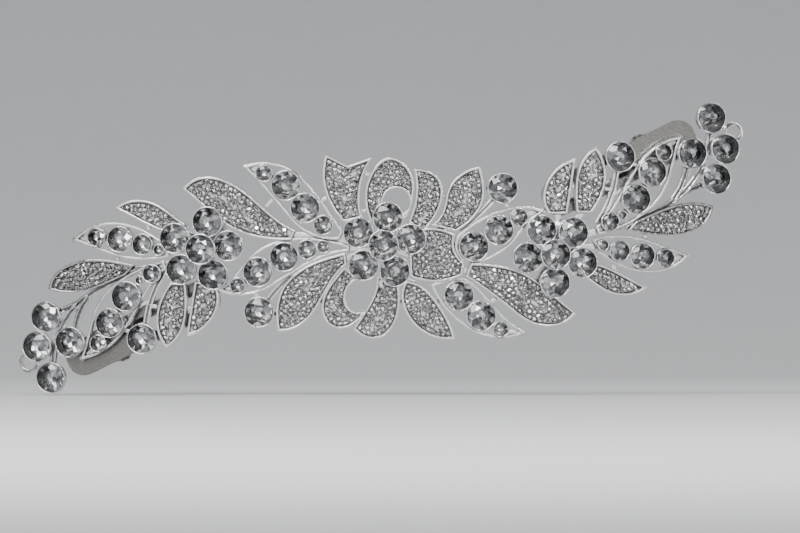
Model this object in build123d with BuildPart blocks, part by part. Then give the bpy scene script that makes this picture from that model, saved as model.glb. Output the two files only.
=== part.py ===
"""Long openwork hairpiece with two sprung clips behind it.

Three plated castings carry every stone: a centre section with a bow, and two equal sprays, one turned
half round from the other. Three raised flowers of six stones cover the joints. +X runs along the piece,
+Z is up and the face looks along -Y. The origin is the middle of the back, where the piece meets the hair.
"""
from build123d import *

import math
import os

# Driving dimensions, mm
bend_radius = 250.0  # the piece follows an upright cylinder of this radius, with its ends back
tray_height = 2.2  # pave leaf, back to rim
bed_depth = 0.9  # rim down to the bed of a pave leaf
rim_width = 0.5
frame_height = 1.8  # open leaf, back to front
frame_width = 0.6
bar_height = 1.0  # backbones and arms behind the leaves
bar_width = 1.6
backbone_width = 1.2  # bar behind the stones of an open leaf
stem_width = 1.5
stem_height = 1.3
stem_groove = 0.5
groove_depth = 0.4
link_width = 0.9

pave_radius = 0.57
pave_pitch = 2 * pave_radius + 0.1
pave_height = 0.75
pave_taper = 32.0
seat_step = 0.15  # spacing of the places that are tried for a stone
stone_gap = 0.06  # glue line round and under every stone

cup_wall = 0.3
cup_lip = 0.25  # rim above the girdle
leaf_cup_height = 2.9
berry_cup_height = 3.4
cup_foot_share = 0.74  # foot radius of a cup over its rim radius
cup_knee_share = 0.55  # height of a cup at which it stops widening, over its whole height

petal_foot = 2.95  # height of the petals' feet over the tangent plane, clear of the leaves
petal_cup_height = 3.0
flower_rise = 2.0  # rim of the middle stone over the petals' rims
flower_stone = 3.55
pad_radius = 3.7
pad_thickness = 0.9
flower_foot_radius = 2.0

ring_bore = 1.8
ring_wire = 0.95
ring_round = 0.2

clip_centre = (-60.0, -20.0)
clip_slope = 25.3  # degrees up towards the middle of the piece
clip_standoff = 1.2
clip_length = 43.0
clip_rail = 2.2
clip_sheet = 0.8
lever_sheet = 0.7
lever_gap = 0.3  # lever tips to base when closed
lever_width = 7.8
ear_gap = 0.15  # lever to the base's ears
prong_width = 2.2
hinge_at = -8.5  # hinge along the clip, from its middle
hinge_height = 3.4  # pin axis over the base's face
ear_sheet = 0.6
clip_width = lever_width + 2 * (ear_gap + ear_sheet) + 0.1
pin_radius = 0.75
pin_clearance = 0.05
ear_radius = pin_radius + 0.95
pin_head = pin_radius + 0.4
pin_head_height = 0.35
spring_wire = 0.45
spring_turns = 4.5
spring_radius = pin_radius + 0.6
spring_leg = 6.0
spring_stub = 0.5
spring_dip = 17.5  # slope of the leg down to the base, degrees

# Flowers: middle (x, z) and the directions of the petals, degrees
petal_reach = 2 * flower_stone - 0.05
flowers = {
    "left": ((-45.2, -0.4), (76, 7, -64, -134, 157)),
    "centre": ((0.6, 0.55), (153, 81, 13, -66, -135)),
    "right": ((43.7, -1.7), (120, 51, -17, -91, -173)),
}
side_pad = (-44.4, 0.7)  # solder pad of the left spray; the right one is turned half round
centre_pad = (0.6, 0.55)

# Outlines in the front view, (x, z) in mm. Each is a list of sides that meet at corners.
centre_trays = {
    "upper_broad_leaf": [
        [(-49.7, 14.9), (-44.5, 17.7), (-38.5, 16.6), (-31.5, 11.8), (-21.5, 4.3)],
        [(-21.5, 4.3), (-22.5, 1.9)],
        [(-22.5, 1.9), (-30, 2.4), (-36, 4.2), (-43.3, 9.3), (-49.7, 14.9)],
    ],
    "lower_short_leaf": [
        [(-25.7, -21), (-26.2, -16), (-24.6, -10), (-20.5, -5.8), (-13, -2.4), (-9, -1.3)],
        [(-9, -1.3), (-8.6, -4.2)],
        [(-8.6, -4.2), (-12, -8), (-15.5, -14), (-19.8, -19.2), (-25.7, -21)],
    ],
    "upper_short_leaf": [
        [(24.7, 20.3), (20.5, 18.7), (17, 15), (15.6, 9.5), (12.7, 5.6)],
        [(12.7, 5.6), (18.8, 4.1)],
        [(18.8, 4.1), (23.2, 7.5), (25.6, 12), (25.7, 16), (24.7, 20.3)],
    ],
    "lower_broad_leaf": [
        [(48.9, -16.4), (44, -19.5), (38.5, -19.2), (31, -14.2), (24, -9), (21.2, -7.2)],
        [(21.2, -7.2), (22.5, -3.9)],
        [(22.5, -3.9), (29, -4.4), (35, -6), (41.5, -10.3), (48.9, -16.4)],
    ],
    "lower_leaf": [
        [(18.5, -22.9), (10.8, -21.3), (6.5, -16.8), (5.1, -12), (6.3, -8.2)],
        [(6.3, -8.2), (9, -9)],
        [(9, -9), (11.5, -10.7), (14.4, -14.2), (17.1, -18.8), (18.5, -22.9)],
    ],
    "bow_upper_tail": [
        [(-9.3, 6.4), (-12.3, 10.3), (-14.3, 15.5), (-13.9, 23.3)],
        [(-13.9, 23.3), (-8.2, 20.4)],
        [(-8.2, 20.4), (-2.3, 22.5)],
        [(-2.3, 22.5), (-4.6, 17.5), (-5.4, 12), (-4.8, 7.5)],
        [(-4.8, 7.5), (-9.3, 6.4)],
    ],
    "bow_upper_loop": [
        [(-2.6, 6.5), (-3.9, 11), (-3.1, 17.3), (2.3, 22.6), (7.4, 19), (8.2, 14), (6.4, 7.6)],
        [(6.4, 7.6), (-2.6, 6.5)],
    ],
    "bow_upper_ribbon": [
        [(8.3, 19.7), (8.8, 15.5), (8.4, 11), (6.9, 6.5)],
        [(6.9, 6.5), (10.5, 3.6)],
        [(10.5, 3.6), (13.5, 7.7), (15.4, 13), (14.5, 17.3), (11.5, 19.3), (8.3, 19.7)],
    ],
    "bow_side_ribbon": [
        [(7, 3.3), (12, 4.9), (18.4, 3.4)],
        [(18.4, 3.4), (18.5, -0.8), (20.8, -3.8)],
        [(20.8, -3.8), (20.2, -7)],
        [(20.2, -7), (14, -8.5), (7.3, -7.3)],
        [(7.3, -7.3), (7, 3.3)],
    ],
    "bow_lower_loop": [
        [(-9.2, -4.8), (-12.6, -9), (-14.8, -14), (-13.9, -18.3), (-10.5, -20.3), (-6.6, -19), (-3.9, -16)],
        [(-3.9, -16), (-6.3, -16.1), (-8.4, -14.6), (-8.9, -12), (-7.6, -9.2), (-5.5, -7.8)],
        [(-5.5, -7.8), (-9.2, -4.8)],
    ],
    "bow_lower_tail": [
        [(-1, -7), (-1.4, -10.5), (-3.2, -14.6), (-6.9, -20.3)],
        [(-6.9, -20.3), (-3.3, -22.6), (0.6, -22.4)],
        [(0.6, -22.4), (3.6, -18.5), (4.7, -13), (4.2, -8.5)],
        [(4.2, -8.5), (-1, -7)],
    ],
}
loop_eye = (3.9, 11.5)  # round hole through the upper loop
loop_eye_radius = 3.4

centre_frames = {
    "upper_stone_leaf": [
        [(-34.4, 20.4), (-28.5, 21.3), (-22.5, 19.6), (-17, 14.5), (-12.8, 8.8), (-9.5, 4)],
        [(-9.5, 4), (-10.5, 2)],
        [(-10.5, 2), (-15, 2.4), (-19.5, 4.3), (-25, 10), (-29.5, 15.2), (-34.4, 20.4)],
    ],
    "lower_oval_leaf": [
        [(-41, -10.6), (-36.8, -7.2), (-33.5, -3), (-26.5, 1.4), (-18, 2.4), (-8, 0.6)],
        [(-8, 0.6), (-8, -0.9)],
        [(-8, -0.9), (-14, -2.2), (-24, -7.6), (-30, -10.9), (-35, -12), (-41, -10.6)],
    ],
    "upper_oval_leaf": [
        [(41, 9.2), (35.5, 10.4), (30, 9.4), (24, 6.6), (18.9, 2.8)],
        [(18.9, 2.8), (18.6, -0.3), (20, -2.9)],
        [(20, -2.9), (23.5, -3.9), (28.5, -2.2), (33, 1.2), (35.9, 4.9), (41, 9.2)],
    ],
    "lower_stone_leaf": [
        [(36.3, -21.2), (30.5, -22.7), (25, -21.8), (20, -19), (15.5, -14.6), (12.5, -9.3)],
        [(12.5, -9.3), (16.5, -8), (20.6, -7.5)],
        [(20.6, -7.5), (23.8, -9.6), (27.5, -13.6), (32, -18.3), (36.3, -21.2)],
    ],
}
# Stones in the open leaves: (x, z, radius), from the root to the tip
centre_leaf_stones = {
    "upper_stone_leaf": [
        (-14.5, 5.65, 2.2),
        (-19, 9.9, 3.5),
        (-23.8, 15.55, 3.5),
        (-29.3, 18.6, 1.9),
    ],
    "lower_oval_leaf": [
        (-14.4, 0.25, 1.4),
        (-18.5, -0.45, 2.2),
        (-24.25, -2.3, 3.4),
        (-30.85, -6.1, 3.5),
        (-35.9, -9.5, 1.75),
    ],
    "upper_oval_leaf": [
        (23.25, 0.3, 3.5),
        (29.5, 4.4, 3.5),
        (34.6, 7.6, 2.0),
    ],
    "lower_stone_leaf": [
        (19.5, -12, 3.5),
        (25.05, -17, 3.5),
        (30.0, -20.4, 1.75),
    ],
}
centre_berries = [(-30.5, -16.1, 3.55), (30.45, 14.9, 3.55)]
centre_stems = [
    [(-28.6, -13.6), (-26, -10.4), (-22.5, -7.2)],
    [(28.2, 12), (24, 7.9), (19.8, 4.4)],
]
centre_links = [
    [(-28.9, 10.2), (-26.9, 12.4)],
    [(-15.2, 11.5), (-13.0, 12.8)],
    [(-4.9, 18.5), (-3.0, 18.4)],
    [(-5.2, 9.2), (-3.4, 9.2)],
    [(-15.2, -13.4), (-13.8, -13.1)],
    [(-27, -16.6), (-25.5, -16.4)],
    [(-31, -12.8), (-31.4, -11)],
    [(14.6, 12.9), (17.2, 12.9)],
    [(25, 14.8), (27.3, 14.8)],
    [(4.3, -13.4), (5.7, -13.4)],
    [(-4.6, -17.4), (-4.0, -15.6)],
    [(14, -13.2), (15.6, -13.6)],
    [(27.2, -14.2), (29.2, -12.2)],
    [(31.2, 11.8), (31.6, 9.5)],
]
centre_arms = [
    [centre_pad, (-9, 1.4), (-22.6, 3.4)],
    [centre_pad, (-10.2, 3.2)],
    [centre_pad, (-8.4, -0.2)],
    [centre_pad, (-9.2, -2.8)],
    [centre_pad, (-6.5, 7.8)],
    [centre_pad, (-1.2, 8)],
    [centre_pad, (9, 6)],
    [centre_pad, (14.5, 0), (19.2, 0.6)],
    [centre_pad, (14.5, -4), (22.5, -6)],
    [centre_pad, (8, -9.2)],
    [centre_pad, (1.7, -9)],
    [centre_pad, (-7.6, -6.6)],
    [(14, 3.2), (16, 6.5)],
    [(17, -6.5), (17, -8.6)],
    [side_pad, (-37.2, 7)],
    [side_pad, (-38.6, -10.3)],
    [(-side_pad[0], -side_pad[1]), (38.4, -9.6)],
    [(-side_pad[0], -side_pad[1]), (39.4, 9.3)],
]

spray_trays = {
    "top_leaf": [
        [(-66.8, 10), (-62, 11.9), (-57, 11.2), (-52.5, 8.4), (-48.5, 5.5)],
        [(-48.5, 5.5), (-51, 3.4)],
        [(-51, 3.4), (-56, 4.6), (-61, 7), (-66.8, 10)],
    ],
    "outer_leaf": [
        [(-83.6, -10.5), (-81.3, -6), (-76, -3.4), (-69, -3.1), (-62, -4.4)],
        [(-62, -4.4), (-64, -6.7)],
        [(-64, -6.7), (-69.5, -9.2), (-75.5, -11.1), (-83.6, -10.5)],
    ],
    "lower_leaf": [
        [(-53.8, -25.2), (-56.1, -20.5), (-55.9, -15), (-52.8, -8.8)],
        [(-52.8, -8.8), (-49, -8.8)],
        [(-49, -8.8), (-48.7, -14), (-49.8, -20.5), (-53.8, -25.2)],
    ],
    "inner_leaf": [
        [(-48.7, -22.4), (-47.8, -16), (-46.6, -8.5)],
        [(-46.6, -8.5), (-42, -8.5)],
        [(-42, -8.5), (-40.6, -12.5), (-42.3, -17.8), (-48.7, -22.4)],
    ],
}
spray_frames = {
    "side_stone_leaf": [
        [(-77.4, 1.9), (-72.5, 5.4), (-66, 6.2), (-60, 4.6), (-54.5, 1.2)],
        [(-54.5, 1.2), (-53, -2.2)],
        [(-53, -2.2), (-58.5, -3.1), (-64.5, -2.6), (-71, -0.5), (-77.4, 1.9)],
    ],
    "long_stone_leaf": [
        [(-75.4, -28), (-73.4, -21), (-71, -13.8), (-66, -8.4), (-59, -4.6), (-54.5, -3.2)],
        [(-54.5, -3.2), (-53.8, -5.2)],
        [(-53.8, -5.2), (-58, -10), (-62, -17), (-66.5, -23.4), (-71, -26.7), (-75.4, -28)],
    ],
}
spray_leaf_stones = {
    "side_stone_leaf": [
        (-55.7, -0.6, 1.2),
        (-59.85, 0.8, 2.4),
        (-65.6, 2.1, 3.0),
        (-71.4, 2.6, 2.1),
    ],
    "long_stone_leaf": [
        (-57.5, -6.5, 2.1),
        (-60.5, -8.2, 0.9),
        (-64, -12.2, 3.5),
        (-68.1, -18.9, 3.4),
        (-71, -24, 1.9),
    ],
}
spray_berries = [
    (-84.3, -17.3, 3.55),
    (-86.5, -24.8, 3.55),
    (-83.0, -32.6, 3.55),
    (-78.2, -23.7, 3.55),
    (-60.0, -22.8, 3.55),
]
spray_stems = [
    [(-60, -5.2), (-67, -8.3), (-72.5, -11.2), (-76.5, -14.5), (-79.8, -19), (-81.9, -24.5), (-82.6, -29.5)],
    [(-75.5, -13.6), (-78.5, -15), (-81.5, -16)],
    [(-73.4, -12.2), (-75.6, -16), (-76.8, -20.8)],
    [(-54.2, -6), (-57.2, -11.8), (-59, -19.6)],
]
spray_links = [
    [(-58.9, 6.8), (-58.1, 4.4)],
    [(-66.3, -1.7), (-66.1, -4)],
    [(-84.5, -24), (-81.5, -23.6)],
    [(-64.6, -20.5), (-62.3, -21.3)],
    [(-56.6, -21.2), (-55.2, -20.8)],
    [(-49.4, -15.4), (-47.4, -15.2)],
    [(-58.2, -13.4), (-60.2, -14.4)],
    [(-56, -14.8), (-58, -14.6)],
    [(-74.8, -22.5), (-73.4, -22.2)],
]
spray_arms = [
    [side_pad, (-50.6, 5.0)],
    [side_pad, (-54.4, -0.5)],
    [side_pad, (-54.4, -4.2), (-60.5, -5.4)],
    [(-60.5, -5.4), (-64.4, -6.2)],
    [side_pad, (-50.9, -10)],
    [side_pad, (-44.3, -10)],
]
ring_centre = (-88.5, -28.9)
ring_seat = 1  # index of the berry that the ring is soldered behind
# Solder bosses between a spray and the clip's rails
boss_radius = 1.0
boss_sink = 0.45
bosses = [(-68.2, -19.6), (-53.2, -12.9), (-60.0, -23.9), (-51.2, -19.8)]


# Placing on the bent band
def lean_at(x):
    """Angle between the band at x and the band's middle, radians."""
    return math.asin(x / bend_radius)


def tangent_plane(x):
    """The plane that touches the band at x, facing out to the front, with its origin at z = 0."""
    lean = lean_at(x)
    foot = (x, bend_radius * (1 - math.cos(lean)), 0)
    return Plane(
        origin=foot,
        x_dir=(math.cos(lean), math.sin(lean), 0),
        z_dir=(math.sin(lean), -math.cos(lean), 0),
    )


def laid(point, x, height):
    """Front-view (x, z) as it lies on the tangent plane at x when it is drawn at this height."""
    lean = lean_at(x)
    return ((point[0] - x - height * math.sin(lean)) / math.cos(lean), point[1])


def laid_sides(sides, x, height):
    return [[laid(point, x, height) for point in side] for side in sides]


def middle_x(sides):
    """Halfway along x between an outline's ends."""
    across = [point[0] for side in sides for point in side]
    return (min(across) + max(across)) / 2


# Outlines
def draw(sides):
    """Draws the sides, straight with two points and curved with more, and fills them."""
    with BuildLine() as path:
        for side in sides:
            if len(side) == 2:
                Line(*side)
            else:
                Spline(*side)
    make_face(path.edges())


def normal(start, end):
    """Unit normal on the left of a step."""
    step = (Vector(*end) - Vector(*start)).normalized()
    return Vector(-step.Y, step.X)


def inset(sides, depth):
    """The same outline drawn this far inside itself, with its corners kept sharp."""
    loop = [point for side in sides for point in side[:-1]]
    count = len(loop)
    area = sum(loop[i - 1][0] * loop[i][1] - loop[i][0] * loop[i - 1][1] for i in range(count))
    inward = 1 if area > 0 else -1
    moved = []
    for i, point in enumerate(loop):
        before = normal(loop[i - 1], point)
        after = normal(point, loop[(i + 1) % count])
        way = (before + after).normalized()
        reach = inward * depth / max(way.dot(after), 0.35)
        moved.append((point[0] + way.X * reach, point[1] + way.Y * reach))
    result = []
    start = 0
    for side in sides:
        steps = len(side) - 1
        result.append([moved[(start + k) % count] for k in range(steps + 1)])
        start += steps
    return result


def strip(points, width):
    """Outline of a bar of this width along a route."""
    left = []
    right = []
    for i, point in enumerate(points):
        before = points[max(i - 1, 0)]
        after = points[min(i + 1, len(points) - 1)]
        side = normal(before, after) * (width / 2)
        left.append((point[0] + side.X, point[1] + side.Y))
        right.append((point[0] - side.X, point[1] - side.Y))
    right.reverse()
    return [left, [left[-1], right[0]], right, [right[-1], left[0]]]


# Pave seats
def walk(sides, steps=14):
    """Points close together along an outline."""
    points = []
    for side in sides:
        ends = [Vector(*point) for point in side]
        edge = Edge.make_line(*ends) if len(ends) == 2 else Edge.make_spline(ends)
        points += [tuple(edge @ (i / steps))[:2] for i in range(steps)]
    return points


def room(x, y, loop):
    """Distance from a point to the loop round it, below zero outside."""
    inside = False
    nearest = math.inf
    for (ax, ay), (bx, by) in zip(loop, loop[1:] + loop[:1]):
        dx = bx - ax
        dy = by - ay
        share = ((x - ax) * dx + (y - ay) * dy) / (dx * dx + dy * dy)
        share = max(0.0, min(1.0, share))
        nearest = min(nearest, math.hypot(ax + share * dx - x, ay + share * dy - y))
        if (ay > y) != (by > y):
            inside ^= x < ax + (y - ay) * dx / dy
    return nearest if inside else -nearest


def seats(sides, blocked):
    """Centres of stones packed one by one inside an outline, clear of blocked circles.

    Each stone goes where it is nearest to the rim and to the stones that are already there.
    """
    loop = walk(inset(sides, rim_width))
    low_x, high_x = min(p[0] for p in loop), max(p[0] for p in loop)
    low_y, high_y = min(p[1] for p in loop), max(p[1] for p in loop)
    spots = []
    for i in range(int((high_x - low_x) / seat_step)):
        for j in range(int((high_y - low_y) / seat_step)):
            x = low_x + i * seat_step
            y = low_y + j * seat_step
            if any(math.hypot(x - middle[0], y - middle[1]) < radius for middle, radius in blocked):
                continue
            depth = room(x, y, loop)
            if depth > pave_radius + stone_gap:
                spots.append((x, y, depth, 2 * pave_pitch))
    found = []
    while spots:
        x, y, _, _ = min(spots, key=lambda spot: spot[3] + spot[2])
        found.append((x, y))
        spots = [
            (sx, sy, depth, min(near, math.hypot(sx - x, sy - y)))
            for sx, sy, depth, near in spots
            if math.hypot(sx - x, sy - y) >= pave_pitch
        ]
    return found


def flower_cups(x):
    """Circles, on the tangent plane at x, that the flowers' cups cover."""
    cover = flower_stone - pave_radius
    circles = []
    for (fx, fz), turns in flowers.values():
        for turn in turns:
            petal = (
                fx + petal_reach * math.cos(math.radians(turn)),
                fz + petal_reach * math.sin(math.radians(turn)),
            )
            circles.append((laid(petal, x, 0), cover))
        circles.append((laid((fx, fz), x, 0), petal_reach))
    return circles


# Pieces of a casting, added to the casting that is being built
def tray(sides, eye=None):
    """A solid leaf with a rim round a sunken bed."""
    x = middle_x(sides)
    plane = tangent_plane(x)
    outer = laid_sides(sides, x, tray_height)
    with BuildSketch(plane) as leaf:
        draw(outer)
        if eye:
            with Locations(laid(eye, x, tray_height)):
                Circle(loop_eye_radius, mode=Mode.SUBTRACT)
    extrude(leaf.sketch, amount=tray_height)
    with BuildSketch(plane.offset(tray_height)) as bed:
        draw(inset(outer, rim_width))
        if eye:
            with Locations(laid(eye, x, tray_height)):
                Circle(loop_eye_radius + rim_width, mode=Mode.SUBTRACT)
    extrude(bed.sketch, amount=-bed_depth, mode=Mode.SUBTRACT)


def open_frame(sides):
    """The bare rim of an open leaf."""
    x = middle_x(sides)
    outer = laid_sides(sides, x, frame_height)
    with BuildSketch(tangent_plane(x)) as leaf:
        draw(outer)
        with BuildSketch(mode=Mode.PRIVATE) as hollow:
            draw(inset(outer, frame_width))
        add(hollow.sketch, mode=Mode.SUBTRACT)
    extrude(leaf.sketch, amount=frame_height)


def bar(points, width, height):
    """A flat bar along a route, on the back plane at the route's middle."""
    x = middle_x([points])
    with BuildSketch(tangent_plane(x)) as flat:
        draw(strip([laid(point, x, height) for point in points], width))
    extrude(flat.sketch, amount=height)


def stem(points):
    """A stem with a groove along its front, so that it reads as two rails."""
    bar(points, stem_width, stem_height)
    x = middle_x([points])
    route = [laid(point, x, stem_height) for point in points]
    with BuildSketch(tangent_plane(x).offset(stem_height)) as groove:
        draw(strip(route, stem_groove))
    extrude(groove.sketch, amount=-groove_depth, mode=Mode.SUBTRACT)


def pad(point, bottom):
    """Round solder pad."""
    with BuildSketch(tangent_plane(point[0]).offset(bottom)) as disc:
        with Locations(laid(point, point[0], 0)):
            Circle(pad_radius)
    extrude(disc.sketch, amount=pad_thickness)


# Chatons and their cups. A stone's shape follows from its radius.
def crown(radius):
    return 0.3 * radius


def pavilion(radius):
    return 0.6 * radius


def make_chaton(radius):
    """Eight-sided stone with its girdle at z = 0."""
    with BuildPart() as stone:
        with BuildSketch():
            RegularPolygon(radius * 0.97, 8, major_radius=False)
        extrude(amount=crown(radius), taper=55)
        with BuildSketch():
            RegularPolygon(radius * 0.97, 8, major_radius=False)
        extrude(amount=-pavilion(radius), taper=45)
        with BuildSketch(Plane.XY.offset(-pavilion(radius))):
            Circle(radius)
        extrude(amount=pavilion(radius) + crown(radius), mode=Mode.INTERSECT)
    return stone.part


def make_barrel(radius, height):
    """Solid body of a straight cup, for the open leaves, where neighbouring cups run into each other."""
    with BuildPart() as body:
        with BuildSketch():
            Circle(radius + cup_wall)
        extrude(amount=height)
    return body.part


def make_cup(radius, height):
    """Solid body of a cup, narrower at its foot."""
    outer = radius + cup_wall
    foot = outer * cup_foot_share
    with BuildPart() as body:
        with BuildSketch(Plane.XZ):
            with BuildLine():
                Polyline(
                    (0, 0),
                    (foot, 0),
                    (outer, height * cup_knee_share),
                    (outer, height),
                    (0, height),
                    close=True,
                )
            make_face()
        revolve(axis=Axis.Z)
    return body.part


def make_pocket(radius, height):
    """The hollow of a cup: a straight mouth for the girdle and a cone for the pavilion."""
    mouth = radius + stone_gap
    depth = cup_lip + pavilion(radius) + stone_gap
    floor = mouth - pavilion(radius)
    with BuildPart() as hollow:
        with BuildSketch(Plane.XZ):
            with BuildLine():
                Polyline(
                    (0, height + 1),
                    (mouth, height + 1),
                    (mouth, height - cup_lip - stone_gap),
                    (floor, height - depth),
                    (0, height - depth),
                    close=True,
                )
            make_face()
        revolve(axis=Axis.Z)
    return hollow.part


def cup_place(spot, rim, foot):
    """Where a cup stands: on its own tangent plane, at this foot height, seen at its rim."""
    x = spot[0]
    return tangent_plane(x).location * Location((*laid(spot, x, rim), foot))


def add_each(spots, make, height, foot=0.0, mode=Mode.ADD):
    """Adds one body per spot, sized by the spot's radius."""
    for x, z, radius in spots:
        with Locations(cup_place((x, z), foot + height, foot)):
            add(make(radius, height), mode=mode)


def add_stones(spots, height, foot=0.0):
    """Adds one chaton per spot, with its girdle just under the rim of its cup."""
    for x, z, radius in spots:
        place = cup_place((x, z), foot + height, foot)
        with Locations(place * Location((0, 0, height - cup_lip), (0, 0, 7 * x))):
            add(make_chaton(radius))


def petals(middle, turns):
    """Spots of a flower's petals."""
    return [
        (
            middle[0] + petal_reach * math.cos(math.radians(turn)),
            middle[1] + petal_reach * math.sin(math.radians(turn)),
            flower_stone,
        )
        for turn in turns
    ]


os.makedirs("parts", exist_ok=True)


def keep(part, name):
    """Labels and writes a finished sub-part."""
    part.label = name
    export_step(part, f"parts/{name}.step")


def keep_turned(part, name):
    """Writes the same sub-part turned half round about the Y axis, for the right side."""
    with BuildPart() as turned:
        add(part.rotate(Axis.Y, 180))
    keep(turned.part, name)


# Castings
def casting(trays, frames, leaf_stones, berries, stems, links, arms):
    """Fills the casting that is being built with its leaves, stems and cups."""
    for name, sides in trays.items():
        tray(sides, loop_eye if name == "bow_upper_loop" else None)
    for sides in frames.values():
        open_frame(sides)
    for route in arms:
        bar(route, bar_width, bar_height)
    for name, spots in leaf_stones.items():
        tip = frames[name][0][0]
        bar([*[spot[:2] for spot in spots], tip], backbone_width, bar_height)
    for route in stems:
        stem(route)
    for route in links:
        bar(route, link_width, stem_height)
    chatons = [spot for spots in leaf_stones.values() for spot in spots]
    add_each(chatons, make_barrel, leaf_cup_height)
    add_each(berries, make_cup, berry_cup_height)
    add_each(chatons, make_pocket, leaf_cup_height, mode=Mode.SUBTRACT)
    add_each(berries, make_pocket, berry_cup_height, mode=Mode.SUBTRACT)


clip_plane_front = tangent_plane(clip_centre[0]).offset(-clip_standoff)

with BuildPart() as centre_casting:
    pad(centre_pad, 0)
    pad(centre_pad, pad_thickness)
    pad(side_pad, 0)
    pad((-side_pad[0], -side_pad[1]), 0)
    casting(
        centre_trays,
        centre_frames,
        centre_leaf_stones,
        centre_berries,
        centre_stems,
        centre_links,
        centre_arms,
    )
keep(centre_casting.part, "centre_casting")

with BuildPart() as left_spray_casting:
    casting(
        spray_trays,
        spray_frames,
        spray_leaf_stones,
        spray_berries,
        spray_stems,
        spray_links,
        spray_arms,
    )
    # The spray's arms reach its pad, which lies on the centre casting's pad.
    with BuildSketch(tangent_plane(side_pad[0]).offset(-1)):
        with Locations(laid(side_pad, side_pad[0], 0)):
            Circle(pad_radius + stone_gap)
    extrude(amount=pad_thickness + 1, mode=Mode.SUBTRACT)
    pad(side_pad, pad_thickness)
    with BuildSketch(clip_plane_front):
        with Locations(*[laid(spot, clip_centre[0], 0) for spot in bosses]):
            Circle(boss_radius)
    extrude(amount=clip_standoff + boss_sink)
keep(left_spray_casting.part, "left_spray_casting")
keep_turned(left_spray_casting.part, "right_spray_casting")

# Flowers: one casting each, a foot and hub with five arms, five petal cups and a raised middle cup
flower_hub_height = petal_foot + petal_cup_height - cup_wall  # foot of the middle cup
middle_cup_height = flower_rise + cup_wall
for side, (middle, turns) in flowers.items():
    face = tangent_plane(middle[0])
    hub = laid(middle, middle[0], petal_foot)
    with BuildPart() as flower_casting:
        with BuildSketch(face.offset(2 * pad_thickness)):
            with Locations(hub):
                Circle(flower_foot_radius)
        extrude(amount=flower_hub_height - 2 * pad_thickness)
        with BuildSketch(face.offset(petal_foot)):
            for x, z, radius in petals(middle, turns):
                draw(strip([hub, laid((x, z), middle[0], petal_foot)], bar_width))
        extrude(amount=bar_height)
        with Locations(face.location * Location((*hub, petal_foot + bar_height))):
            Cone(
                flower_foot_radius,
                (flower_stone + cup_wall) * cup_foot_share,
                flower_hub_height - petal_foot - bar_height,
                align=(Align.CENTER, Align.CENTER, Align.MIN),
            )
        heart = [(*middle, flower_stone)]
        add_each(petals(middle, turns), make_cup, petal_cup_height, petal_foot)
        add_each(heart, make_cup, middle_cup_height, flower_hub_height)
        add_each(petals(middle, turns), make_pocket, petal_cup_height, petal_foot, mode=Mode.SUBTRACT)
        add_each(heart, make_pocket, middle_cup_height, flower_hub_height, mode=Mode.SUBTRACT)
    keep(flower_casting.part, f"{side}_flower_casting")

    with BuildPart() as flower_stones:
        add_stones(petals(middle, turns), petal_cup_height, petal_foot)
        add_stones(heart, middle_cup_height, flower_hub_height)
    keep(flower_stones.part, f"{side}_flower_stones")

# Stones of the open leaves and the berries
for name, spots in centre_leaf_stones.items():
    with BuildPart() as leaf_stones:
        add_stones(spots, leaf_cup_height)
    keep(leaf_stones.part, f"centre_{name}_stones")

with BuildPart() as berry_stones:
    add_stones(centre_berries, berry_cup_height)
keep(berry_stones.part, "centre_berry_stones")

for name, spots in spray_leaf_stones.items():
    with BuildPart() as leaf_stones:
        add_stones(spots, leaf_cup_height)
    keep(leaf_stones.part, f"left_{name}_stones")
    keep_turned(leaf_stones.part, f"right_{name}_stones")

with BuildPart() as spray_berry_stones:
    add_stones(spray_berries, berry_cup_height)
keep(spray_berry_stones.part, "left_berry_stones")
keep_turned(spray_berry_stones.part, "right_berry_stones")


# Pave stones: low round stones with tapering sides, glued side by side on a leaf's bed
def pave(sides, extra_blocked=()):
    """Adds one leaf's stones to the group that is being built."""
    x = middle_x(sides)
    outline = laid_sides(sides, x, tray_height)
    bed = tangent_plane(x).offset(tray_height - bed_depth + stone_gap)
    with BuildSketch(bed) as feet:
        with Locations(*seats(outline, [*flower_cups(x), *extra_blocked])):
            Circle(pave_radius)
    extrude(feet.sketch, amount=pave_height, taper=pave_taper)


for name, sides in centre_trays.items():
    with BuildPart() as pave_stones:
        eye = (laid(loop_eye, middle_x(sides), tray_height), loop_eye_radius + rim_width + pave_radius)
        pave(sides, [eye] if name == "bow_upper_loop" else [])
    keep(pave_stones.part, f"centre_{name}_pave")

for name, sides in spray_trays.items():
    with BuildPart() as pave_stones:
        pave(sides)
    keep(pave_stones.part, f"left_{name}_pave")
    keep_turned(pave_stones.part, f"right_{name}_pave")

# End rings: one closed wire ring soldered behind the second berry at each end
ring_x = spray_berries[ring_seat][0]
with BuildPart() as end_ring:
    with BuildSketch(tangent_plane(ring_x).offset(-ring_wire)):
        with Locations(laid(ring_centre, ring_x, 0)):
            Circle(ring_bore + ring_wire)
            Circle(ring_bore, mode=Mode.SUBTRACT)
    extrude(amount=ring_wire)
    fillet(end_ring.edges().filter_by(GeomType.CIRCLE).group_by(SortBy.RADIUS)[-1], ring_round)
keep(end_ring.part, "left_end_ring")
keep_turned(end_ring.part, "right_end_ring")

# Clips. Each lies along its own axis: x from the squeezed end to the tips, y across, z away from the casting.
face = tangent_plane(clip_centre[0])
clip_foot = face.from_local_coords((*laid(clip_centre, clip_centre[0], 0), -clip_standoff))
slope = math.radians(clip_slope)
clip_along = face.x_dir * math.cos(slope) + Vector(0, 0, math.sin(slope))
clip_plane = Plane(origin=clip_foot, x_dir=clip_along, z_dir=face.z_dir * -1)
half_length = clip_length / 2
pin_height = clip_sheet + hinge_height
base_ear_inner = lever_width / 2 + ear_gap
pin_length = 2 * (base_ear_inner + ear_sheet)


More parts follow.
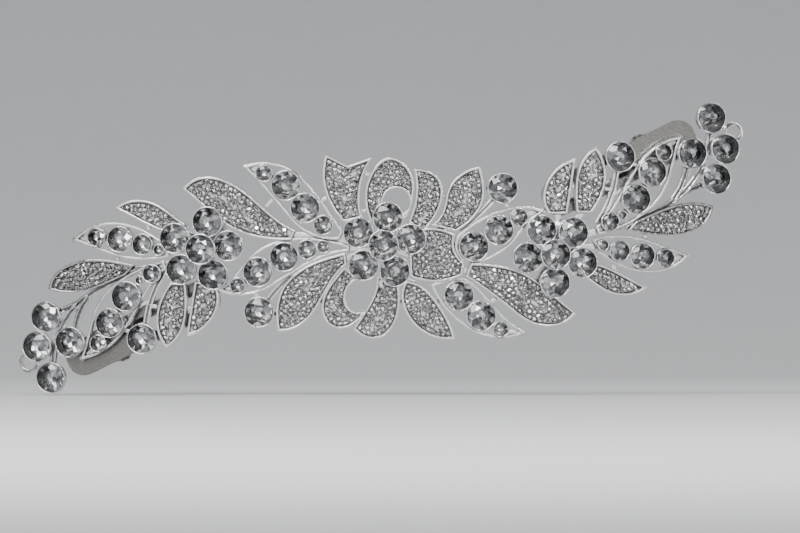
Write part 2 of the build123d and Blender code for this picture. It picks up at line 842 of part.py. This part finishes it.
def side_plane(across):
    """Looking along the clip's pin from this far across: sketch x along the clip, sketch y away."""
    origin = clip_plane.from_local_coords((0, across, 0))
    return Plane(origin=origin, x_dir=clip_plane.x_dir, z_dir=clip_plane.y_dir * -1)


slot_start = -2.5
slot_end = half_length - clip_rail
slot_corner = 1.5
end_round = 0.45  # corner radius of a clip's outline, over its width
with BuildPart() as clip_base:
    with BuildSketch(clip_plane):
        RectangleRounded(clip_length, clip_width, clip_width * end_round)
        with Locations(((slot_start + slot_end) / 2, 0)):
            RectangleRounded(
                slot_end - slot_start,
                clip_width - 2 * clip_rail,
                slot_corner,
                mode=Mode.SUBTRACT,
            )
    extrude(amount=clip_sheet)
    for across in (base_ear_inner + ear_sheet, -base_ear_inner):
        with BuildSketch(side_plane(across)):
            with Locations((hinge_at, pin_height)):
                Circle(ear_radius)
            with Locations((hinge_at, pin_height / 2)):
                Rectangle(2 * ear_radius, pin_height)
            with Locations((hinge_at, pin_height)):
                Circle(pin_radius + pin_clearance, mode=Mode.SUBTRACT)
        extrude(amount=ear_sheet)

# The closed lever from the side, through the middle of its sheet: flat prongs, a rise over the pin and a tab
tip_height = clip_sheet + lever_gap + lever_sheet / 2
lever_inset = 0.3  # lever's ends inside the base's
lever_line = [
    (half_length - lever_inset, tip_height),
    (half_length - 8, tip_height + 0.1),
    (half_length - 18, tip_height + 0.85),
    (hinge_at + 4.5, pin_height + 0.9),
    (hinge_at, pin_height + 2.1),
    (hinge_at - 4.5, pin_height + 3.2),
    (lever_inset - half_length, pin_height + 5.2),
]
lever_top = pin_height + 8
prong_gap_end = half_length + slot_corner + 1  # past the tips, so that the gap between them is open
ear_rise = 2.0  # lever's ears, from the pin up into its sheet
with BuildPart() as clip_lever:
    with BuildSketch(side_plane(lever_width / 2)):
        draw(strip(lever_line, lever_sheet))
    extrude(amount=lever_width)
    with BuildSketch(clip_plane):
        RectangleRounded(clip_length - 2 * lever_inset, lever_width, lever_width * end_round)
    extrude(amount=lever_top, mode=Mode.INTERSECT)
    with BuildSketch(clip_plane):
        with Locations(((slot_start + prong_gap_end) / 2, 0)):
            RectangleRounded(prong_gap_end - slot_start, lever_width - 2 * prong_width, slot_corner)
    extrude(amount=lever_top, mode=Mode.SUBTRACT)
    for across in (lever_width / 2, ear_sheet - lever_width / 2):
        with BuildSketch(side_plane(across)):
            with Locations((hinge_at, pin_height)):
                Circle(ear_radius)
            with Locations((hinge_at, pin_height + ear_rise / 2)):
                Rectangle(2 * ear_radius, ear_rise)
            with Locations((hinge_at, pin_height)):
                Circle(pin_radius + pin_clearance, mode=Mode.SUBTRACT)
        extrude(amount=ear_sheet)

with BuildPart() as clip_pin:
    with BuildSketch(side_plane(pin_length / 2)):
        with Locations((hinge_at, pin_height)):
            Circle(pin_radius)
    extrude(amount=pin_length)
    for across in (pin_length / 2 + pin_head_height, -pin_length / 2):
        with BuildSketch(side_plane(across)):
            with Locations((hinge_at, pin_height)):
                Circle(pin_head)
        extrude(amount=pin_head_height)

# Torsion spring round the pin. Its long leg slopes to the base and its short one ends under the lever.
spring_pitch = spring_wire * 1.25
spring_width = spring_turns * spring_pitch
coil_plane = Plane(
    origin=clip_plane.from_local_coords((hinge_at, spring_width / 2, pin_height)),
    x_dir=clip_plane.z_dir * -1,
    z_dir=clip_plane.y_dir * -1,
)
with BuildLine() as turns:
    Helix(pitch=spring_pitch, height=spring_width, radius=spring_radius)
coil = turns.wire().moved(coil_plane.location * Rotation(0, 0, spring_dip))
with BuildPart() as clip_spring:
    with BuildSketch(Plane(origin=coil @ 0, z_dir=coil % 0)):
        Circle(spring_wire / 2)
    sweep(path=coil)
    with BuildSketch(Plane(origin=coil @ 0, z_dir=(coil % 0) * -1)):
        Circle(spring_wire / 2)
    extrude(amount=spring_leg)
    with BuildSketch(Plane(origin=coil @ 1, z_dir=coil % 1)):
        Circle(spring_wire / 2)
    extrude(amount=spring_stub)

for piece, name in ((clip_base, "base"), (clip_lever, "lever"), (clip_pin, "pin"), (clip_spring, "spring")):
    keep(piece.part, f"left_clip_{name}")
    keep_turned(piece.part, f"right_clip_{name}")
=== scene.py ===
import math
import random

import bmesh
import bpy
import numpy as np
from mathutils import Matrix, Vector
from mathutils.bvhtree import BVHTree


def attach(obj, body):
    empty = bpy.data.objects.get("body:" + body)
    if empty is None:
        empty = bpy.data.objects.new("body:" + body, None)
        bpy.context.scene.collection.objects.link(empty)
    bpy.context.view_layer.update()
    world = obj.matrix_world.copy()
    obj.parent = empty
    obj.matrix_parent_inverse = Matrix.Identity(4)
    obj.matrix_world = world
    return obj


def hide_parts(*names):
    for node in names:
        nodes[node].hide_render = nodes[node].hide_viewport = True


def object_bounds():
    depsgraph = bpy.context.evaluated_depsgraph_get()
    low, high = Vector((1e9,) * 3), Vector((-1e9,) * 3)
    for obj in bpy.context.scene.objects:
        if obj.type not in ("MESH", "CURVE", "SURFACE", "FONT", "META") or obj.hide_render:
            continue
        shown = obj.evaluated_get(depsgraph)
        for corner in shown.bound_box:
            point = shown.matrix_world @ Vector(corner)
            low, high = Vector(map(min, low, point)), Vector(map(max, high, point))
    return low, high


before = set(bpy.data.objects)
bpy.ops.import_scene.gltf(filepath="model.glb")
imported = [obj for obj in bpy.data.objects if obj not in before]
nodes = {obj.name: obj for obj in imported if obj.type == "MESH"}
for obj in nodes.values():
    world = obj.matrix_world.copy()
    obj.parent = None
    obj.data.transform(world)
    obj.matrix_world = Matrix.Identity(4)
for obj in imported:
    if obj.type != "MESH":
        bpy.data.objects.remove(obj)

MM = 0.001
cad_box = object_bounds()
toss = random.Random(7)

# The cut of the stones, as shares of a stone's radius
girdle_round = 16  # corners of a stone's girdle
table_share = 0.55  # radius of the flat top
shoulder_share = 0.78  # radius of the corners between a crown's facets
keel_share = 0.62  # radius of the corners between a pavilion's facets
hub_share = 0.34  # radius of the shallow cone at a pavilion's foot
hub_rise = 0.06  # height of that cone
girdle_band = 0.05  # height of the girdle's edge
chaton_crown = 0.3  # height of a chaton's crown
pave_crown = 0.42  # height of a pave stone's crown
pave_girdle = 0.5  # where a pave stone's girdle lies, over the stone's whole height
chaton_lean = 1.2  # usual tilt of a chaton in its cup, degrees
pave_lean = 5.0  # usual tilt of a pave stone in its bed, degrees

# The beads between pave stones, mm unless said otherwise
bead_radius = 0.17
bead_rise = 0.45  # bead's middle over the floor of the bed
bead_turns = 24  # places tried for a bead round each stone
bead_stand = 0.8  # bead's middle to the stone's girdle, over the bead's radius
bead_spacing = 2.3  # least distance between two beads' middles, over the bead's radius
own_stone_slack = 0.99  # keeps a bead's own stone from counting as one in its way
look_height = 3  # height over the stones' feet that the floor of the bed is looked for from
bed_slack = 0.25  # how far the floor may lie from the stones' feet and still be the bed

FRONT = Vector((0, -1, 0))


# Stones
def loose_stones(node):
    """The separate stones of a CAD group, each as an array of its corner points."""
    group = bmesh.new()
    group.from_mesh(nodes[node].data)
    bmesh.ops.remove_doubles(group, verts=group.verts, dist=0.001 * MM)
    left = set(group.verts)
    found = []
    while left:
        stack = [left.pop()]
        points = []
        while stack:
            vert = stack.pop()
            points.append(tuple(vert.co))
            for edge in vert.link_edges:
                other = edge.other_vert(vert)
                if other in left:
                    left.discard(other)
                    stack.append(other)
        found.append(np.array(points))
    group.free()
    found.sort(key=lambda points: tuple(points.mean(0).round(5)))
    return found


def flattest(points):
    """Unit normal of the plane that lies nearest to the points, turned to the front."""
    spread = np.linalg.svd(points - points.mean(0))[2][2]
    way = Vector(spread)
    return way if way.dot(FRONT) > 0 else -way


def measured(points, way):
    """Foot, radius and height of a stone that stands along way."""
    middle = Vector(points.mean(0))
    along = [(Vector(point) - middle).dot(way) for point in points]
    across = [(Vector(point) - middle - way * rise).length for point, rise in zip(points, along)]
    return middle + way * min(along), max(across), max(along) - min(along)


def brilliant(radius, crown, pavilion):
    """Points and faces of a round brilliant, girdle at z = 0, and how many of the faces are the crown's."""
    half = girdle_round // 2
    fine = 2 * math.pi / girdle_round
    slope = crown / (1 - table_share)
    shoulder = slope * (1 - shoulder_share * math.cos(fine))
    steep = (pavilion - hub_rise) / (1 - hub_share * math.cos(fine))
    keel = -steep * (1 - keel_share * math.cos(fine))
    band = girdle_band * radius / 2

    def ring(count, share, height, offset=0.0):
        turns = [2 * math.pi * k / count + offset for k in range(count)]
        return [(radius * share * math.cos(t), radius * share * math.sin(t), height) for t in turns]

    points = ring(half, table_share, crown * radius + band)
    points += ring(half, shoulder_share, shoulder * radius + band, fine)
    points += ring(girdle_round, 1, band)
    points += ring(girdle_round, 1, -band)
    points += ring(half, keel_share, keel * radius - band, fine)
    points += ring(half, hub_share, (hub_rise - pavilion) * radius - band, fine)
    points.append((0, 0, -pavilion * radius - band))
    table = list(range(half))
    rest = [half + k for k in range(half)]
    top = [2 * half + k for k in range(girdle_round)]
    under = [2 * half + girdle_round + k for k in range(girdle_round)]
    keels = [2 * half + 2 * girdle_round + k for k in range(half)]
    hubs = [3 * half + 2 * girdle_round + k for k in range(half)]
    culet = len(points) - 1
    faces = [tuple(table)]
    for k in range(half):
        after = (k + 1) % half
        faces.append((table[k], rest[k], table[after]))
        faces.append((rest[k - 1], top[2 * k], rest[k], table[k]))
        faces.append((rest[k], top[2 * k], top[2 * k + 1]))
        faces.append((rest[k], top[2 * k + 1], top[2 * after]))
    for k in range(girdle_round):
        after = (k + 1) % girdle_round
        faces.append((top[k], under[k], under[after], top[after]))
    crown_faces = len(faces)
    for k in range(half):
        after = (k + 1) % half
        faces.append((under[2 * k], keels[k], under[2 * k + 1]))
        faces.append((under[2 * k + 1], keels[k], under[2 * after]))
        faces.append((under[2 * k], keels[k - 1], hubs[k - 1], hubs[k], keels[k]))
        faces.append((hubs[k - 1], culet, hubs[k]))
    return points, faces, crown_faces


def joined(name, batches, materials):
    """One mesh object from lists of (points, faces, material numbers), already in the shared frame."""
    points = []
    faces = []
    slots = []
    for batch_points, batch_faces, batch_slots in batches:
        start = len(points)
        points += batch_points
        faces += [tuple(start + k for k in face) for face in batch_faces]
        slots += batch_slots
    mesh = bpy.data.meshes.new(name)
    mesh.from_pydata(points, [], faces)
    mesh.polygons.foreach_set("material_index", slots)
    # Each face gets a random 0..1 value; the stone materials paint it into the facet colour as painted glints
    # and reflections, dark to bright.
    painted_glints = mesh.attributes.new("painted_facet_glint", "FLOAT", "FACE")
    painted_glints.data.foreach_set("value", [toss.random() for _ in faces])
    for material in materials:
        mesh.materials.append(material)
    mesh.update()
    piece = bpy.data.objects.new(name, mesh)
    bpy.context.scene.collection.objects.link(piece)
    return piece


def standing(way, spin, tilt=0.0):
    """Turn that stands z along way, spun about it and leant a little."""
    lean = Matrix.Rotation(tilt, 3, "X") @ Matrix.Rotation(spin, 3, "Z")
    return way.to_track_quat("Z", "Y").to_matrix() @ lean


def set_stone(foot, way, radius, girdle, crown, pavilion, spin, tilt):
    """A brilliant stood in its setting, ready to join."""
    points, faces, crown_faces = brilliant(radius, crown, pavilion)
    turn = standing(way, spin, tilt)
    seat = foot + way * girdle
    placed = [tuple(seat + turn @ Vector(point)) for point in points]
    return placed, faces, [0] * crown_faces + [1] * (len(faces) - crown_faces)


def chaton_stones(node):
    """Foiled chatons of one group in place of its CAD stones."""
    batches = []
    for points in loose_stones(node):
        way = flattest(points)
        foot, radius, height = measured(points, way)
        girdle = height - chaton_crown * radius
        spin = toss.uniform(0, math.pi / 4)
        tilt = toss.gauss(0, math.radians(chaton_lean))
        pavilion = girdle / radius - girdle_band
        batches.append(set_stone(foot, way, radius, girdle, chaton_crown - girdle_band, pavilion, spin, tilt))
    piece = joined(f"{node}_cut", batches, (crystal, foil))
    finish(piece, "clear_stone", node)


def pave_stones(node):
    """Small foiled stones of one leaf in place of its CAD stones, with the beads between them."""
    found = loose_stones(node)
    way = flattest(np.array([points.mean(0) for points in found]))
    seats = [measured(points, way) for points in found]
    batches = []
    for foot, radius, height in seats:
        spin = toss.uniform(0, math.pi / 4)
        tilt = toss.gauss(0, math.radians(pave_lean))
        girdle = height * pave_girdle
        pavilion = girdle / radius - girdle_band
        batches.append(set_stone(foot, way, radius, girdle, pave_crown, pavilion, spin, tilt))
    piece = joined(f"{node}_cut", batches, (small_crystal, small_crystal))
    finish(piece, "clear_stone", node)
    bed = BVHTree.FromObject(nodes[casting_of(node)], bpy.context.evaluated_depsgraph_get())
    beads = joined(f"{node}_beads", pave_beads(seats, way, bed), (rhodium,))
    beads.data.polygons.foreach_set("use_smooth", [True] * len(beads.data.polygons))
    finish(beads, "plated_casting")


def casting_of(node):
    """Name of the casting that a group of pave stones is set in."""
    side = node.split("_")[0]
    return "centre_casting" if side == "centre" else f"{side}_spray_casting"


def pave_beads(seats, way, bed):
    """A bead at every open place beside the stones where the ground is the floor of the bed."""
    middles = []
    for foot, radius, _ in seats:
        turn = standing(way, 0)
        reach = radius + bead_stand * bead_radius * MM
        for k in range(bead_turns):
            t = 2 * math.pi * k / bead_turns
            place = foot + turn @ Vector((reach * math.cos(t), reach * math.sin(t), 0))
            if any((place - other).length < own_stone_slack * reach for other, _, _ in seats):
                continue
            if any((place - other).length < bead_spacing * bead_radius * MM for other in middles):
                continue
            hit = bed.ray_cast(place + way * look_height * MM, -way)[0]
            if hit and (hit - place).length < bed_slack * MM:
                middles.append(place)
    return [bead(middle + way * bead_rise * MM, way) for middle in middles]


def bead(foot, way):
    """A domed bead on a short stalk."""
    sides = 8
    outline = [(1.0, -1.6), (1.0, 0.0), (0.8, 0.55), (0.42, 0.9)]  # radius and height over the bead's radius
    turn = standing(way, toss.uniform(0, math.pi / sides))
    size = bead_radius * MM * toss.uniform(0.9, 1.1)
    points = []
    for share, rise in outline:
        for k in range(sides):
            t = 2 * math.pi * k / sides
            points.append((share * math.cos(t), share * math.sin(t), rise))
    points.append((0, 0, 1))
    faces = []
    for level in range(len(outline) - 1):
        low = level * sides
        for k in range(sides):
            after = (k + 1) % sides
            faces.append((low + k, low + after, low + sides + after, low + sides + k))
    low = (len(outline) - 1) * sides
    faces += [(low + k, low + (k + 1) % sides, len(points) - 1) for k in range(sides)]
    faces.append(tuple(range(sides - 1, -1, -1)))
    return [tuple(foot + turn @ Vector(p) * size) for p in points], faces, [0] * len(faces)


def finish(piece, slot, *replaced):
    """Ties a piece to the hairpiece's own body and hides the pieces it replaces."""
    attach(piece, "hairpiece")
    if replaced:
        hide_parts(*replaced)


# Materials
def linear(colour):
    """Linear colour of an sRGB hex value."""
    parts = [int(colour[k:k + 2], 16) / 255 for k in (1, 3, 5)]
    return tuple(p / 12.92 if p <= 0.04045 else ((p + 0.055) / 1.055) ** 2.4 for p in parts) + (1.0,)


def add_node(material, kind, settings=None, **links):
    """Adds a node, sets its properties and sockets, and links its inputs."""
    tree = material.node_tree
    node = tree.nodes.new(kind)
    for name, value in (settings or {}).items():
        if isinstance(name, int) or name in node.inputs:
            node.inputs[name].default_value = value
        else:
            setattr(node, name, value)
    for name, source in links.items():
        tree.links.new(source, node.inputs[name.replace("_", " ")])
    return node


def new_material(name):
    """An empty node material."""
    material = bpy.data.materials.new(name)
    material.use_nodes = True
    material.node_tree.nodes.clear()
    return material


def shown(material, shader):
    """The material with its shader on the surface."""
    end = add_node(material, "ShaderNodeOutputMaterial")
    material.node_tree.links.new(shader.outputs[0], end.inputs["Surface"])
    return material


def per_mm(size):
    """Scale of a noise whose lumps are this many millimetres across."""
    return 1 / (size * MM)


def ramp(material, source, low, high, start, stop):
    """Maps a 0..1 value between two ends to two numbers."""
    node = add_node(
        material,
        "ShaderNodeMapRange",
        {"From Min": start, "From Max": stop, "To Min": low, "To Max": high},
        Value=source,
    )
    return node.outputs["Result"]


def rhodium_plated_zinc():
    """Rhodium over tumbled zinc casting: a cold white mirror whose edges the tumbling has rounded, with the
    softly waved skin of the mould, so reflections break up. The recesses are painted dark grey where ambient
    occlusion finds them closed in, a painted shade, and the backs kept the mould's sandy skin."""
    m = new_material("rhodium_plated_zinc")
    place = add_node(m, "ShaderNodeTexCoord").outputs["Object"]
    skin = add_node(m, "ShaderNodeTexNoise", {"Scale": per_mm(1.3), "Detail": 3.0}, Vector=place)
    sand = add_node(m, "ShaderNodeTexNoise", {"Scale": per_mm(0.22), "Detail": 2.0}, Vector=place)
    normal = add_node(m, "ShaderNodeNewGeometry").outputs["Normal"]
    back = add_node(m, "ShaderNodeSeparateXYZ", Vector=normal).outputs["Y"]
    dull = ramp(m, back, 0.0, 1.0, 0.35, 0.8)
    # Painted shade: ambient occlusion finds the recesses, and the colour is painted dark grey there.
    hollow = add_node(m, "ShaderNodeAmbientOcclusion", {"samples": 6, "Distance": 0.7 * MM})
    painted_recess_shade = ramp(m, hollow.outputs["AO"], 0.0, 1.0, 0.45, 0.85)
    polish = ramp(m, skin.outputs["Fac"], 0.08, 0.17, 0.3, 0.7)
    rough = add_node(m, "ShaderNodeMix", {"data_type": "FLOAT", 3: 0.36}, Factor=dull)
    m.node_tree.links.new(polish, rough.inputs[2])
    round_edge = add_node(m, "ShaderNodeBevel", {"samples": 6, "Radius": 0.25 * MM})
    wave = add_node(
        m,
        "ShaderNodeBump",
        {"Strength": 0.4, "Distance": 0.09 * MM},
        Height=skin.outputs["Fac"],
        Normal=round_edge.outputs["Normal"],
    )
    grit_depth = add_node(m, "ShaderNodeMath", {"operation": "MULTIPLY"})
    m.node_tree.links.new(sand.outputs["Fac"], grit_depth.inputs[0])
    m.node_tree.links.new(dull, grit_depth.inputs[1])
    grit = add_node(
        m,
        "ShaderNodeBump",
        {"Strength": 0.5, "Distance": 0.03 * MM},
        Height=grit_depth.outputs[0],
        Normal=wave.outputs["Normal"],
    )
    # Painted shade: the colour runs from dark grey in the recesses to the rhodium's own white.
    tone = add_node(m, "ShaderNodeMix", {"data_type": "RGBA", 6: linear("#3C3D3F"), 7: linear("#DCDCDD")})
    m.node_tree.links.new(painted_recess_shade, tone.inputs[0])
    shader = add_node(
        m,
        "ShaderNodeBsdfPrincipled",
        {"Metallic": 1.0},
        Base_Color=tone.outputs[2],
        Roughness=rough.outputs[0],
        Normal=grit.outputs["Normal"],
    )
    return shown(m, shader)


def machine_cut_crystal():
    """Machine-cut lead glass: clear and hard-edged, with a trace of polishing haze on the facets."""
    m = new_material("machine_cut_crystal")
    place = add_node(m, "ShaderNodeTexCoord").outputs["Object"]
    haze = add_node(m, "ShaderNodeTexNoise", {"Scale": per_mm(2.0), "Detail": 2.0}, Vector=place)
    shader = add_node(
        m,
        "ShaderNodeBsdfPrincipled",
        {"Base Color": linear("#FBFCFD"), "IOR": 1.56, "Transmission Weight": 1.0},
        Roughness=ramp(m, haze.outputs["Fac"], 0.0, 0.03, 0.35, 0.75),
    )
    return shown(m, shader)


def silver_foil():
    """Silvered foil behind the pavilion: a mirror whose facets are painted lighter or darker at random, a
    painted reflection of the light bouncing inside the stone."""
    m = new_material("silver_foil")
    facet = add_node(m, "ShaderNodeAttribute", {"attribute_name": "painted_facet_glint"}).outputs["Fac"]
    # Painted reflection: each facet's colour goes from grey to white by its random value.
    tone = add_node(m, "ShaderNodeMix", {"data_type": "RGBA", 6: linear("#6C6D70"), 7: linear("#F4F4F4")})
    m.node_tree.links.new(facet, tone.inputs[0])
    place = add_node(m, "ShaderNodeTexCoord").outputs["Object"]
    grain = add_node(m, "ShaderNodeTexNoise", {"Scale": per_mm(0.5), "Detail": 2.0}, Vector=place)
    shader = add_node(
        m,
        "ShaderNodeBsdfPrincipled",
        {"Metallic": 1.0},
        Base_Color=tone.outputs[2],
        Roughness=ramp(m, grain.outputs["Fac"], 0.1, 0.16, 0.3, 0.7),
    )
    return shown(m, shader)


def foiled_small_crystal():
    """Pave stones under two millimetres: glass over foil so close together that each facet reads as one
    flash, light or dark, painted into its colour as a painted reflection, under a clear glass shine."""
    m = new_material("foiled_small_crystal")
    facet = add_node(m, "ShaderNodeAttribute", {"attribute_name": "painted_facet_glint"}).outputs["Fac"]
    # Painted reflection: each facet's colour goes from near black to white by its random value.
    tone = add_node(m, "ShaderNodeMix", {"data_type": "RGBA", 6: linear("#1E1F21"), 7: linear("#FFFFFF")})
    m.node_tree.links.new(facet, tone.inputs[0])
    place = add_node(m, "ShaderNodeTexCoord").outputs["Object"]
    grain = add_node(m, "ShaderNodeTexNoise", {"Scale": per_mm(0.4), "Detail": 2.0}, Vector=place)
    shader = add_node(
        m,
        "ShaderNodeBsdfPrincipled",
        {"Metallic": 1.0, "Coat Weight": 1.0, "Coat Roughness": 0.02, "Coat IOR": 1.56},
        Base_Color=tone.outputs[2],
        Roughness=ramp(m, grain.outputs["Fac"], 0.1, 0.18, 0.3, 0.7),
    )
    return shown(m, shader)


def nickel_plated_strip():
    """Nickel-plated spring steel strip, pressed: rolled lines run along it and blur the shine one way, and
    the plating, handled and never polished, is warmer, darker and duller than the rhodium; its colour is
    painted darker still, a painted shade for the clip lying behind the castings."""
    m = new_material("nickel_plated_strip")
    place = add_node(m, "ShaderNodeTexCoord").outputs["Object"]
    along = add_node(
        m,
        "ShaderNodeMapping",
        {"Rotation": (0.0, math.radians(25), 0.0), "Scale": (0.06, 1.0, 1.0)},
        Vector=place,
    )
    lines = add_node(
        m, "ShaderNodeTexNoise", {"Scale": per_mm(0.25), "Detail": 3.0}, Vector=along.outputs["Vector"]
    )
    # Partly painted shade: nickel's own colour, painted much darker for the clip lying in shadow behind the
    # castings.
    tone = add_node(m, "ShaderNodeMix", {"data_type": "RGBA", 6: linear("#72716E"), 7: linear("#7F7D7A")})
    m.node_tree.links.new(lines.outputs["Fac"], tone.inputs[0])
    round_edge = add_node(m, "ShaderNodeBevel", {"samples": 4, "Radius": 0.15 * MM})
    scratch = add_node(
        m,
        "ShaderNodeBump",
        {"Strength": 0.3, "Distance": 0.01 * MM},
        Height=lines.outputs["Fac"],
        Normal=round_edge.outputs["Normal"],
    )
    shader = add_node(
        m,
        "ShaderNodeBsdfPrincipled",
        {"Metallic": 1.0},
        Base_Color=tone.outputs[2],
        Roughness=ramp(m, lines.outputs["Fac"], 0.2, 0.36, 0.3, 0.7),
        Normal=scratch.outputs["Normal"],
    )
    return shown(m, shader)


def drawn_wire():
    """Drawn spring wire, left as drawn: grey, with fine lines from the die."""
    m = new_material("drawn_wire")
    place = add_node(m, "ShaderNodeTexCoord").outputs["Object"]
    lines = add_node(m, "ShaderNodeTexNoise", {"Scale": per_mm(0.15), "Detail": 2.0}, Vector=place)
    tone = add_node(m, "ShaderNodeMix", {"data_type": "RGBA", 6: linear("#8F8D8A"), 7: linear("#B4B2AE")})
    m.node_tree.links.new(lines.outputs["Fac"], tone.inputs[0])
    shader = add_node(
        m,
        "ShaderNodeBsdfPrincipled",
        {"Metallic": 1.0},
        Base_Color=tone.outputs[2],
        Roughness=ramp(m, lines.outputs["Fac"], 0.22, 0.4, 0.3, 0.7),
    )
    return shown(m, shader)


def matt_board():
    """Matt painted board for the floor: pale, with the faint mottling of a roller."""
    m = new_material("matt_board")
    place = add_node(m, "ShaderNodeTexCoord").outputs["Object"]
    mottle = add_node(m, "ShaderNodeTexNoise", {"Scale": per_mm(6.0), "Detail": 3.0}, Vector=place)
    tone = add_node(m, "ShaderNodeMix", {"data_type": "RGBA", 6: linear("#ABACAE"), 7: linear("#B1B2B4")})
    m.node_tree.links.new(mottle.outputs["Fac"], tone.inputs[0])
    shader = add_node(
        m,
        "ShaderNodeBsdfPrincipled",
        {"Roughness": 0.9, "Specular IOR Level": 0.2},
        Base_Color=tone.outputs[2],
    )
    return shown(m, shader)


rhodium = rhodium_plated_zinc()
crystal = machine_cut_crystal()
foil = silver_foil()
small_crystal = foiled_small_crystal()
nickel = nickel_plated_strip()
wire = drawn_wire()
board = matt_board()


def plating(node):
    """Finish of a CAD piece that is shown as it is."""
    if node.endswith("_spring"):
        return wire
    return nickel if "_clip_" in node else rhodium


for name, node in nodes.items():
    if name.endswith("_pave"):
        pave_stones(name)
    elif name.endswith("_stones"):
        chaton_stones(name)
    else:
        node.data.materials.clear()
        node.data.materials.append(plating(name))

# Camera: straight on to the face, as far as the piece's length asks for
view_width = 0.200
view_distance = 3.0
view_centre = Vector((0.00475, 0, -0.0047))
camera_data = bpy.data.cameras.new("camera")
camera_data.lens = camera_data.sensor_width * view_distance / view_width
camera = bpy.data.objects.new("camera", camera_data)
camera.location = view_centre + FRONT * view_distance
camera.rotation_euler = (math.pi / 2, 0, 0)
bpy.context.scene.collection.objects.link(camera)
bpy.context.scene.camera = camera


# Floor: a wide board that curves gently up well behind the piece
def floor_board(height, reach, bend_at, curve, rise):
    """A flat board whose far edge is bent up to this rise on this curve."""
    section = [(-reach, height), (bend_at, height)]
    steps = 16
    turn = math.acos(1 - rise / curve)
    for k in range(1, steps + 1):
        t = turn * k / steps
        section.append((bend_at + curve * math.sin(t), height + curve * (1 - math.cos(t))))
    points = [(side * reach, y, z) for y, z in section for side in (-1, 1)]
    faces = [(2 * k, 2 * k + 1, 2 * k + 3, 2 * k + 2) for k in range(len(section) - 1)]
    floor = joined("floor", [(points, faces, [0] * len(faces))], (board,))
    floor.data.polygons.foreach_set("use_smooth", [True] * len(faces))


floor_board(height=cad_box[0][2] - 0.5 * MM, reach=6.0, bend_at=0.5, curve=1.6, rise=0.24)


# Light: a dim room with a pale far side, a low bank in front, a large soft box, and small ones for the facets
def soft_box(name, place, width, height, power):
    """A white rectangular lamp turned to the piece; sizes in metres, power in watts."""
    data = bpy.data.lights.new(name, "AREA")
    data.shape = "RECTANGLE"
    data.size = width
    data.size_y = height
    data.energy = power
    lamp = bpy.data.objects.new(name, data)
    lamp.location = place
    lamp.rotation_euler = (-Vector(place)).to_track_quat("-Z", "Y").to_euler()
    bpy.context.scene.collection.objects.link(lamp)


soft_box("front_bank", (0, -1.7, 0.2), 2.4, 0.5, 5.6)
soft_box("large_box", (-0.55, -1.0, 0.95), 0.8, 0.6, 26.0)
soft_box("right_strip", (1.1, -0.8, 0.25), 0.18, 0.9, 7.0)
soft_box("top_box", (0.15, 0.35, 1.2), 1.0, 0.3, 10.0)
small_boxes = 6
small_box_turn = 0.4  # where round the ring the first one stands, radians
small_box_ring = 0.55
small_box_front = -1.3
small_box_low = 0.25
small_box_rise = 0.45
small_box_climb = 0.1
small_box_size = 0.1
small_box_power = 3.0
for k in range(small_boxes):
    turn = 2 * math.pi * k / small_boxes + small_box_turn
    across = small_box_ring * math.cos(turn)
    up = small_box_low + small_box_rise * abs(math.sin(turn)) + small_box_climb * k / small_boxes
    soft_box(
        f"small_box_{k}", (across, small_box_front, up), small_box_size, small_box_size, small_box_power
    )


def room_light():
    """Room round the piece: dark in front of its face so that the metal has something dark to mirror."""
    world = bpy.data.worlds.new("room")
    world.use_nodes = True
    bpy.context.scene.world = world
    world.node_tree.nodes.clear()
    way = add_node(world, "ShaderNodeTexCoord").outputs["Generated"]
    depth = add_node(world, "ShaderNodeSeparateXYZ", Vector=way).outputs["Y"]
    far = ramp(world, depth, 0.0, 1.0, -0.5, 0.35)
    tone = add_node(world, "ShaderNodeMix", {"data_type": "RGBA", 6: linear("#101112"), 7: linear("#B4B5B6")})
    world.node_tree.links.new(far, tone.inputs[0])
    glow = add_node(world, "ShaderNodeBackground", {"Strength": 1.0}, Color=tone.outputs[2])
    end = add_node(world, "ShaderNodeOutputWorld")
    world.node_tree.links.new(glow.outputs[0], end.inputs["Surface"])


room_light()
